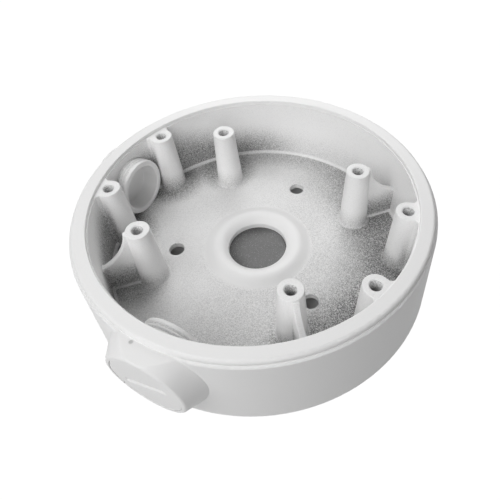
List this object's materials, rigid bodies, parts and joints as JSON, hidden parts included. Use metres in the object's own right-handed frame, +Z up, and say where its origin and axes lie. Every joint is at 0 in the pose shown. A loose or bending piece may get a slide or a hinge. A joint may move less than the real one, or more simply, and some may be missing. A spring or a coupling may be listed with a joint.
{
  "type": "camera junction box",
  "caption": "Round die-cast camera junction box, open at the face, with internal screw posts, wall-screw holes and plugged side and rear cable entries.",
  "frame": {"origin": "centre of the base plane, which lies on the wall or table, on the round body's axis", "axes": "+Z up out of the open face, -X through the left side entry, -Y through the front side entry"},
  "size_m": [0.1419, 0.1463, 0.036],
  "materials": {
    "housing_paint": "satin white paint over die-cast aluminium",
    "plug_paint": "satin white paint over aluminium",
    "seal_rubber": "matte black rubber",
    "blank_metal": "bare grey casting metal, matte"
  },
  "bodies": {
    "box": {"housing": "housing_paint", "rear_entry_blank": "blank_metal"},
    "left_seal": {"left_plug_seal": "seal_rubber"},
    "left_plug": {"left_entry_plug": "plug_paint"},
    "front_seal": {"front_plug_seal": "seal_rubber"},
    "front_plug": {"front_entry_plug": "plug_paint"}
  },
  "joints": [
    {"name": "left_plug_travel", "type": "slide", "parent": "box", "child": "left_seal", "axis": [-1, 0, 0], "range_m": [0, 0.009]},
    {"name": "left_plug_turn", "type": "hinge", "parent": "left_seal", "child": "left_plug", "pos_m": [-0.06, 0, 0.0186], "axis": [-1, 0, 0], "range_deg": [0, 2170]},
    {"name": "front_plug_travel", "type": "slide", "parent": "box", "child": "front_seal", "axis": [0, -1, 0], "range_m": [0, 0.012]},
    {"name": "front_plug_turn", "type": "hinge", "parent": "front_seal", "child": "front_plug", "pos_m": [0, -0.06, 0.0186], "axis": [0, -1, 0], "range_deg": [0, 2890]}
  ],
  "couplings": [
    {"joint": "left_plug_turn", "follows": "left_plug_travel", "rad_per_m": 4188.8},
    {"joint": "front_plug_turn", "follows": "front_plug_travel", "rad_per_m": 4188.8}
  ]
}
